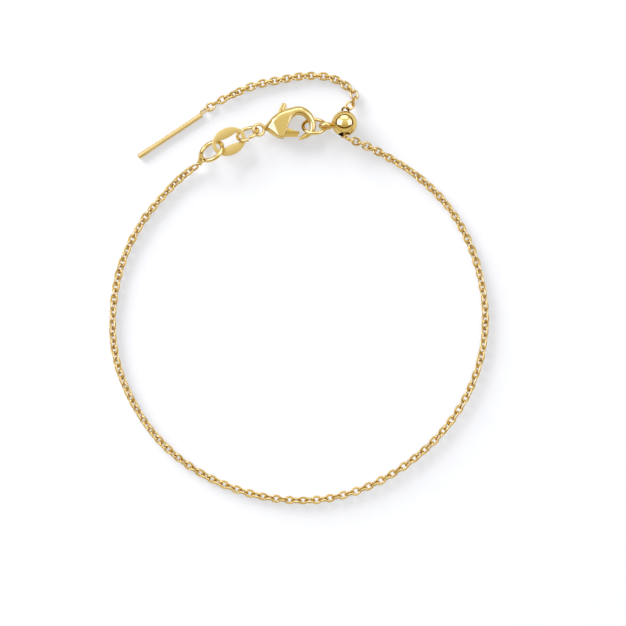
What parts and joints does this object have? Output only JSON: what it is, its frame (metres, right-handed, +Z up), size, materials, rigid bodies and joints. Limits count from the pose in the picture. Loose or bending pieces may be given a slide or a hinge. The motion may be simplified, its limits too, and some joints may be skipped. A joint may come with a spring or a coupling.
{
  "type": "adjustable chain bracelet",
  "caption": "Fine cable-chain bracelet with lobster clasp, oval tag and jump rings; a sliding bead grips the chain so that the loop draws smaller, with a threading needle on the free end.",
  "frame": {"origin": "middle of the bracelet's footprint, on the surface that it lies on", "axes": "+Z up from the surface; +Y from the loop's far side to the clasp and the free tail; +X from the needle to the bead"},
  "size_m": [0.059, 0.067, 0.004],
  "materials": {
    "chain_gold": "polished fine links, yellow gold colour",
    "wire_gold": "polished round wire, yellow gold colour",
    "tag_gold": "satin flat plate, yellow gold colour",
    "clasp_gold": "polished casting, yellow gold colour",
    "bead_gold": "mirror polished ball, yellow gold colour"
  },
  "bodies": {
    "bracelet": {"chain": "chain_gold", "end_ring": "wire_gold", "oval_tag": "tag_gold", "link_ring": "wire_gold", "clasp_body": "clasp_gold", "hook_ring": "wire_gold", "slide_bead": "bead_gold", "needle": "wire_gold"},
    "lever": {"clasp_lever": "clasp_gold"}
  },
  "joints": [
    {"name": "lever_hinge", "type": "hinge", "parent": "bracelet", "child": "lever", "pos_m": [-0.0031, 0.02434, 0.00137], "axis": [0, 0, 1], "range_deg": [0, 25], "stiffness_Nm_per_rad": 0.008, "springref_deg": -17.19}
  ]
}
